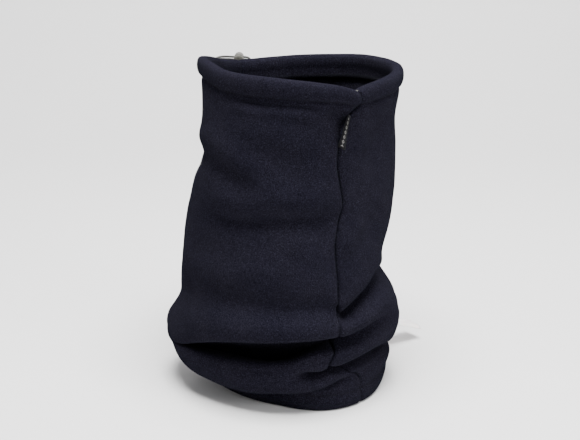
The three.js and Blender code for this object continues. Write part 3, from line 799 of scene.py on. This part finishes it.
THREAD = 0.28  # radius
STITCH = 2.9
STITCH_GAP = 0.8
STITCH_SHAPE = ((-1, -0.7), (-0.8, 0.1), (0, 0.25), (0.8, 0.1), (1, -0.7))  # share of its half, and rise
OVERLOCK_PITCH = 1.3
OVERLOCK_END = 1.2  # from a seam to the end of a band
SINK = 0.1  # how far a thread lies in the pile, or the buttonhole's stands above it


def stitch_line(panels, station):
    """Separate straight stitches that dive into the fleece at both ends."""
    lift = FLEECE / 2 - SINK
    stitches = []
    for panel in panels:
        count = round(panel.width / (STITCH + STITCH_GAP))
        half = STITCH / 2 / panel.width
        for i in range(count):
            middle = (i + 0.5) / count
            points = [panel.at(middle + half * share, station, lift + rise) + TUBE_AXIS
                      for share, rise in STITCH_SHAPE]
            stitches.append(tube_bmesh(smooth_path(points, 2), THREAD, 6))
    return stitches


def overlock_band(panels, first, second, lift):
    """A zigzag of thread between two stations, round the tube."""
    bands = []
    for panel in panels:
        count = 2 * round(panel.width / OVERLOCK_PITCH)
        points = []
        for i in range(count + 1):
            across = lerp(OVERLOCK_END, panel.width - OVERLOCK_END, i / count) / panel.width
            points.append(panel.at(across, (first, second)[i % 2], lift) + TUBE_AXIS)
        bands.append(tube_bmesh(points, THREAD, 6))
    return bands


def seam_overlock(one, other):
    """Loops of thread round a seam's two raw edges, which are given as columns and their normals."""
    rows = [j for j, station in enumerate(STATIONS)
            if HEM_STITCH_LINE + 1.5 < station < CHANNEL_FOOT_LINE - 1]
    middle = (one[0] + other[0])[rows] / 2
    inward = -unit((one[1] + other[1])[rows])
    beside = unit((other[0] - one[0])[rows])
    length = np.concatenate([[0], np.cumsum(np.linalg.norm(np.diff(middle, axis=0), axis=1))])
    around = [(-1, 2.6), (-1, 5.3), (0, 5.75), (1, 5.3), (1, 2.6), (0, 2.4)]
    half = 2 * Panel.SEAM_EDGE + THREAD * 0.6
    points = []
    for i in range(int(length[-1] / OVERLOCK_PITCH) * len(around)):
        side, depth = around[i % len(around)]
        at = i / len(around) * OVERLOCK_PITCH
        place, into, across = (np.array([np.interp(at, length, rows_of[:, k]) for k in range(3)])
                               for rows_of in (middle, inward, beside))
        points.append(place + into * depth + across * side * half + TUBE_AXIS)
    return tube_bmesh(points, THREAD, 5)


def make_thread(name, parts, node, thread):
    finish_piece(name, join_bmeshes(parts), thread, "root", [node])


# ---- buttonhole

SLOT_WIDTH = 10
SLOT_HEIGHT = 4.8
BUTTONHOLE_BORDER = 1.5
BORDER_SINK = 0.35  # how far its stitches reach into the slot
BORDER_PITCH = 0.62
EXIT_HEADING = -131


class Buttonhole:
    """The slot through the channel's outer layer, measured along the rim and up from its middle."""

    def __init__(self, panel):
        self.panel = panel
        self.across = (EXIT_HEADING - BACK_SEAM) / (FRONT_SEAM - BACK_SEAM)
        self.station = RIM_LINE - 2
        self.middle = panel.at(self.across, self.station) + TUBE_AXIS
        self.out = unit(np.array([self.middle[0] - TUBE_AXIS[0], self.middle[1] - TUBE_AXIS[1], 0]))
        self.along = np.array([-self.out[1], self.out[0], 0])

    def place(self, along, up, lift):
        """A point on the channel's outer layer."""
        layer = [j for j, station in enumerate(STATIONS)
                 if CHANNEL_STITCH_LINE <= station <= RIM_LINE - 0.5]
        column = round(float(np.interp(self.across, self.panel.across, np.arange(PANEL_COLUMNS))))
        heights = self.panel.points[column, layer, 2]
        station = float(np.interp(self.middle[2] + up, heights, np.array(STATIONS)[layer]))
        return self.panel.at(self.across + along / self.panel.width, station, lift) + TUBE_AXIS

    def cut(self, bm):
        """Takes the faces inside the slot out of a panel's bmesh."""
        inside = []
        for face in bm.faces:
            away = np.array(face.calc_center_median()) - self.middle
            in_slot = abs(away @ self.along) < SLOT_WIDTH / 2 and abs(away[2]) < SLOT_HEIGHT / 2
            if in_slot and abs(away @ self.out) < CHANNEL_PUFF / 2:
                inside.append(face)
        bmesh.ops.delete(bm, geom=inside, context="FACES")

    def border(self):
        """Satin stitches round the slot: one thread that goes in and out across the border."""
        corner = SLOT_HEIGHT / 2
        straight = SLOT_WIDTH - 2 * corner
        ring = 2 * straight + 2 * math.pi * corner
        count = 2 * round(ring / BORDER_PITCH)
        points = []
        for i in range(count + 1):
            at = ring * i / count
            out = (-BORDER_SINK, BUTTONHOLE_BORDER)[i % 2]
            if at < straight:
                along, up, turn = at - straight / 2, -corner - out, None
            elif at < straight + math.pi * corner:
                along, up, turn = straight / 2, 0, (at - straight) / corner - math.pi / 2
            elif at < 2 * straight + math.pi * corner:
                along, up, turn = straight * 1.5 + math.pi * corner - at, corner + out, None
            else:
                along, up, turn = -straight / 2, 0, (at - 2 * straight) / corner - math.pi / 2
            if turn is not None:
                along += (corner + out) * math.cos(turn)
                up += (corner + out) * math.sin(turn)
            points.append(self.place(along, up, FLEECE / 2 + SINK))
        return tube_bmesh(points, THREAD, 6)


# ---- drawcord

# The free cord, as in the CAD. Each strand from the buttonhole to the lock is in X, Y and Z from the
# buttonhole, and the hanging loop is in X and Z from the lock. THROUGH_SLOT is out and along the rim.
LOCK_FROM_EXIT = np.array([16.4, 31.8, 2.2])
UPPER_STRAND = [(-1.1, 5.9, 1.05), (-2.9, 11.6, 1.3), (-3.9, 18.2, 1.9), (-2.7, 25.2, 2.6),
                (0.9, 30.2, 3.1), (5.6, 31.8, 3.25), (10.5, 31.8, 3.25), (16.4, 31.8, 3.25)]
LOWER_STRAND = [(-5.6, 0.3, -1.05), (-9.8, 1.8, -1), (-12.6, 5.8, -0.8), (-13.1, 11.4, -0.4),
                (-11.4, 18.6, 0.2), (-7.2, 25.8, 0.8), (-1.3, 30.5, 1.1), (5.2, 31.8, 1.15),
                (10.5, 31.8, 1.15), (16.4, 31.8, 1.15)]
LOOP = [(10.9, -8), (10.9, -13), (11.7, -18), (13.2, -22), (12.4, -25.6), (9.85, -27.4),
        (7.3, -25.6), (6.5, -22), (8, -18), (8.8, -13), (8.8, -8)]
THROUGH_SLOT = [(-3.9, -7.6), (-2.7, -3.9), (-0.6, -1.1), (1.8, 1.2)]
BEND_FROM_LOCK = 5.2
INNER_BEND = 3.6
CAVITY_REACH = 8  # degrees from the buttonhole to where a strand is back in the cavity
ANCHOR_REACH = 2  # degrees from FRONT_SEAM to the cord's sewn ends


def in_cavity(start, end, rise):
    """The cord inside the channel between two headings, half way down it."""
    headings = np.linspace(start, end, round(abs(end - start) / 6))
    rim = rim_at(headings)
    depth = closed_curve(CHANNEL_DEPTHS, headings)[:, 0]
    radius = TUBE_RADIUS + rim[:, 0]
    angles = np.radians(headings)
    return [*np.column_stack([radius * np.sin(angles), -radius * np.cos(angles),
                              rim[:, 1] - depth / 2 + rise]) + TUBE_AXIS]


class Drawcord:
    """The route of the elastic cord, from one sewn end through the whole channel to the other."""

    def __init__(self, hole, lock):
        self.hole = hole
        self.lock = lock

    def through_slot(self, side, rise):
        start = self.hole.middle + np.array([0, 0, rise])
        return [start + self.hole.out * out - self.hole.along * beside * side
                for out, beside in THROUGH_SLOT]

    def strand(self, points):
        """A strand from the buttonhole that ends exactly in the lock."""
        spare = self.lock - self.hole.middle - LOCK_FROM_EXIT
        shares = (np.arange(len(points)) + 1) / len(points)
        return [*self.hole.middle + np.array(points) + shares[:, None] * spare]

    def bend(self, rise, radius):
        turns = np.radians([0, 30, 60, 90])
        return [self.lock + np.array([BEND_FROM_LOCK + radius * math.sin(turn), 0,
                                      rise - radius + radius * math.cos(turn)]) for turn in turns]

    def route(self):
        rise = STRAND_OFFSET
        points = [
            *in_cavity(FRONT_SEAM - ANCHOR_REACH, EXIT_HEADING + CAVITY_REACH, rise),
            *self.through_slot(1, rise),
            *self.strand(UPPER_STRAND),
            *self.bend(rise, INNER_BEND + 2 * STRAND_OFFSET),
            *[self.lock + np.array([x, 0, z]) for x, z in LOOP],
            *self.bend(-rise, INNER_BEND)[::-1],
            *self.strand(LOWER_STRAND)[::-1],
            *self.through_slot(-1, -rise)[::-1],
            *in_cavity(EXIT_HEADING - CAVITY_REACH, ANCHOR_REACH + FRONT_SEAM - 360, -rise),
        ]
        return smooth_path(points, 4)


def make_drawcord(hole, lock, elastic):
    path = Drawcord(hole, lock).route()
    braid = tube_bmesh(path, CORD / 2, 12)
    obj = finish_piece("drawcord_braid", braid, elastic, "root", ["drawcord"])


# ---- cord lock

# Heights along the lock from the middle of the cord, towards the button.
LOCK_RADIUS = 4.15
LOCK_BORE = 3.25
STEM_RADIUS = 2.9
BARREL_FOOT = -7.45
SPRING_FOOT = -6.25
PLUNGER_FOOT = -2.25
CORD_TOP = 1.25
BARREL_TOP = 4.55
BUTTON_FOOT = 7.7
BUTTON_TOP = 9.7
LOCK_TRAVEL = 2.8
TUNNEL_WIDTH = 4.6


def lathe(outline, sides=48):
    """A closed solid round Z from radius and height pairs that start and end on the axis."""
    angles = np.linspace(0, 2 * math.pi, sides + 1)
    rings = np.array([[(r * math.cos(a), r * math.sin(a), z) for r, z in outline] for a in angles])
    bm = grid_bmesh(rings, wrap=True)
    bmesh.ops.dissolve_degenerate(bm, edges=bm.edges, dist=1e-5)
    bmesh.ops.recalc_face_normals(bm, faces=bm.faces)
    return bm


def box_bmesh(low, high):
    bm = bmesh.new()
    bmesh.ops.create_cube(bm, size=1)
    low, high = Vector(low), Vector(high)
    bmesh.ops.scale(bm, vec=high - low, verts=bm.verts)
    bmesh.ops.translate(bm, vec=(low + high) / 2, verts=bm.verts)
    return bm


def without(solid, cutter):
    """The solid less the cutter. Both bmeshes are used up."""
    objects = []
    for bm in (solid, cutter):
        mesh = bpy.data.meshes.new("scratch")
        bm.to_mesh(mesh)
        bm.free()
        objects.append(bpy.data.objects.new("scratch", mesh))
        bpy.context.scene.collection.objects.link(objects[-1])
    body, tool = objects
    add_modifier(body, "BOOLEAN", object=tool, operation="DIFFERENCE", solver="EXACT")
    evaluated = body.evaluated_get(bpy.context.evaluated_depsgraph_get())
    result = bmesh.new()
    result.from_mesh(evaluated.to_mesh())
    evaluated.to_mesh_clear()
    for obj in objects:
        mesh = obj.data
        bpy.data.objects.remove(obj)
        bpy.data.meshes.remove(mesh)
    return result


def place_in_lock(bm, lock):
    """From the lock's own frame, with its button up, to the tube's: the button points inwards."""
    bmesh.ops.rotate(bm, cent=(0, 0, 0), matrix=Matrix.Rotation(math.radians(90), 3, "X"), verts=bm.verts)
    bmesh.ops.translate(bm, vec=lock, verts=bm.verts)
    return bm


def tunnel(low, high):
    reach, half = 2 * LOCK_RADIUS, TUNNEL_WIDTH / 2
    return box_bmesh((-reach, -half, low), (reach, half, high))


def soften_edges(obj, width):
    add_modifier(obj, "BEVEL", width=width * MM, segments=2, limit_method="ANGLE",
                 angle_limit=math.radians(35), harden_normals=True)


def make_barrel(lock, plastic):
    foot = 0.9
    outline = [(0, BARREL_FOOT), (LOCK_RADIUS - foot, BARREL_FOOT),
               (LOCK_RADIUS - foot * 0.3, BARREL_FOOT + foot * 0.3), (LOCK_RADIUS, BARREL_FOOT + foot),
               (LOCK_RADIUS, BARREL_TOP - 0.6), (LOCK_RADIUS - 0.25, BARREL_TOP - 0.1),
               (LOCK_RADIUS - 0.5, BARREL_TOP), (LOCK_BORE + 0.15, BARREL_TOP),
               (LOCK_BORE, BARREL_TOP - 0.2), (LOCK_BORE, SPRING_FOOT), (0, SPRING_FOOT)]
    solid = without(lathe(outline), tunnel(-CORD_TOP, CORD_TOP))
    obj = finish_piece("lock_barrel_shell", place_in_lock(solid, lock), plastic, "cord_lock",
                       ["cord_lock_barrel"])
    soften_edges(obj, 0.14)


def make_plunger(lock, plastic):
    outline = [(0, PLUNGER_FOOT), (STEM_RADIUS - 0.3, PLUNGER_FOOT), (STEM_RADIUS, PLUNGER_FOOT + 0.3),
               (STEM_RADIUS, BUTTON_FOOT), (LOCK_RADIUS - 0.3, BUTTON_FOOT),
               (LOCK_RADIUS, BUTTON_FOOT + 0.3), (LOCK_RADIUS, BUTTON_TOP - 0.7),
               (LOCK_RADIUS - 0.25, BUTTON_TOP - 0.25), (LOCK_RADIUS - 0.9, BUTTON_TOP),
               (1.9, BUTTON_TOP), (1.4, BUTTON_TOP - 0.3), (0, BUTTON_TOP - 0.35)]
    solid = without(lathe(outline), tunnel(-CORD_TOP, CORD_TOP + LOCK_TRAVEL))
    obj = finish_piece("lock_plunger_stem", place_in_lock(solid, lock), plastic, "lock_button",
                       ["cord_lock_plunger"])
    soften_edges(obj, 0.12)


def make_spring(lock):
    wire, turns, steps = 0.18, 3, 24
    radius = STEM_RADIUS - 2 * wire
    foot, top = SPRING_FOOT + wire, PLUNGER_FOOT - wire
    coil = []
    for i in range((turns + 2) * steps + 1):
        angle = 2 * math.pi * i / steps
        share = smooth_step(i / ((turns + 2) * steps), 0.08, 0.92)
        coil.append((radius * math.cos(angle), radius * math.sin(angle), lerp(foot, top, share)))
    spring = place_in_lock(tube_bmesh(coil, wire, 8), lock)
    finish_piece("lock_spring_coil", spring, steel_finish(), "cord_lock",
                 ["cord_lock_spring"])


# ---- labels

def make_flag_label(panel, tape):
    """A strip folded in two that stands out of the front seam, its lower end turned to the right."""
    rows, layers = 15, 7
    reach, thickness = 10.5, 0.42
    low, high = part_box("flag_label")
    heights = np.linspace(low[2] / MM + 2.2, high[2] / MM, rows)
    top, bottom = (panel.at(1, panel.station_at_height(1, height), 0.1) + TUBE_AXIS
                   for height in heights[[-1, 0]])
    points = np.empty((2 * layers + 1, rows, 3))
    for j in range(rows):
        down = 1 - j / (rows - 1)
        root = lerp(top, bottom, down)
        heading = math.radians(lerp(5, 32, down))
        out = np.array([math.sin(heading), -math.cos(heading), 0])
        beside = np.array([-out[1], out[0], 0])
        for i in range(2 * layers + 1):
            share = min(i, 2 * layers - i) / layers
            layer = np.sign(i - layers) * thickness / 2 * math.sqrt(1 - share**6)
            sway = 0.5 * math.sin(3.1 * share + 2.2 * down) * share
            points[i, j] = root + out * reach * share + beside * (layer + sway)
    bm = grid_bmesh(points)
    obj = finish_piece("flag_label_tape", bm, tape, "flag", ["flag_label"])
    add_modifier(obj, "SOLIDIFY", thickness=0.22 * MM, offset=0.0)


def make_care_label(tape):
    """A satin strip that sticks out of the low crease at the back right and droops."""
    length, width, droop = 58, 18, math.radians(16.5)
    root = np.array([58.26, 47.62, 29.5])
    heading = math.radians(125)
    out = np.array([math.sin(heading), -math.cos(heading), 0])
    beside = np.array([-out[1], out[0], 0])
    columns, rows = 29, 25
    points = np.empty((columns, rows, 3))
    for i in range(columns):
        share = i / (columns - 1)
        for j in range(rows):
            side = j / (rows - 1) - 0.5
            curl = 2.4 * smooth_step(-2 * side, 0.72, 1) + 0.5 * abs(2 * side)**3
            wave = 0.9 * math.sin(math.pi * share) + 0.6 * math.sin(5 * share + 3 * side)
            rise = wave - curl * smooth_step(share, 0.1, 0.5) - length * share * math.sin(droop)
            reach = length * share * math.cos(droop)
            points[i, j] = root + out * reach + beside * side * width + np.array([0, 0, rise])
    bm = grid_bmesh(points)
    obj = finish_piece("care_label_tape", bm, tape, "care", ["care_label"])
    add_modifier(obj, "SOLIDIFY", thickness=0.3 * MM, offset=0.0)


# ---- stage

def make_floor():
    """A pale paper sweep: flat under the object and curved up behind it."""
    bend, back, width = 0.5, 0.7, 6
    profile = [(-2.5, 0), (back, 0)]
    for step in range(1, 13):
        angle = step / 12 * math.pi / 2
        profile.append((back + bend * math.sin(angle), bend * (1 - math.cos(angle))))
    profile.append((back + bend, 4))
    points = np.array([[(x, y, z) for y, z in profile] for x in (-width / 2, width / 2)])
    smooth_object("sweep", grid_bmesh(points), floor_finish())


# ---- build

make_camera()
make_lights()
make_floor()

left = Panel(BACK_SEAM, FRONT_SEAM)
right = Panel(FRONT_SEAM, BACK_SEAM + 360)
panels = (left, right)
hole = Buttonhole(left)
fleece = fleece_finish()
make_panel("left_panel_fleece", left, "left_panel", fleece, hole.cut)
make_panel("right_panel_fleece", right, "right_panel", fleece)

thread = thread_finish()
inside = FLEECE / 2 + 0.15
channel_overlock = overlock_band(panels, INNER_STITCH_LINE + 0.35, LAST_LINE, inside)
channel_stitches = stitch_line(panels, CHANNEL_STITCH_LINE) + channel_overlock
make_thread("channel_thread", channel_stitches, "channel_stitching", thread)
hem_overlock = overlock_band(panels, 0, 1, inside)
hem_stitches = stitch_line(panels, HEM_STITCH_LINE) + hem_overlock
make_thread("hem_thread", hem_stitches, "hem_stitching", thread)
front_edges = ((left.points[-1], left.normals[-1]), (right.points[0], right.normals[0]))
back_edges = ((right.points[-1], right.normals[-1]), (left.points[0], left.normals[0]))
make_thread("front_seam_overlock", [seam_overlock(*front_edges)], "front_seam_thread", thread)
make_thread("back_seam_overlock", [seam_overlock(*back_edges)], "back_seam_thread", thread)
make_thread("buttonhole_thread", [hole.border()], "buttonhole_stitching", thread)

lock_low, lock_high = (np.array(corner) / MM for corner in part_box("cord_lock_barrel"))
lock_point = (lock_low + lock_high) / 2
lock_point[1] = lock_high[1] + BARREL_FOOT
plastic = lock_finish()
make_barrel(lock_point, plastic)
make_plunger(lock_point, plastic)
make_spring(lock_point)
make_drawcord(hole, lock_point, elastic_finish())
make_flag_label(left, flag_finish())
make_care_label(care_finish())
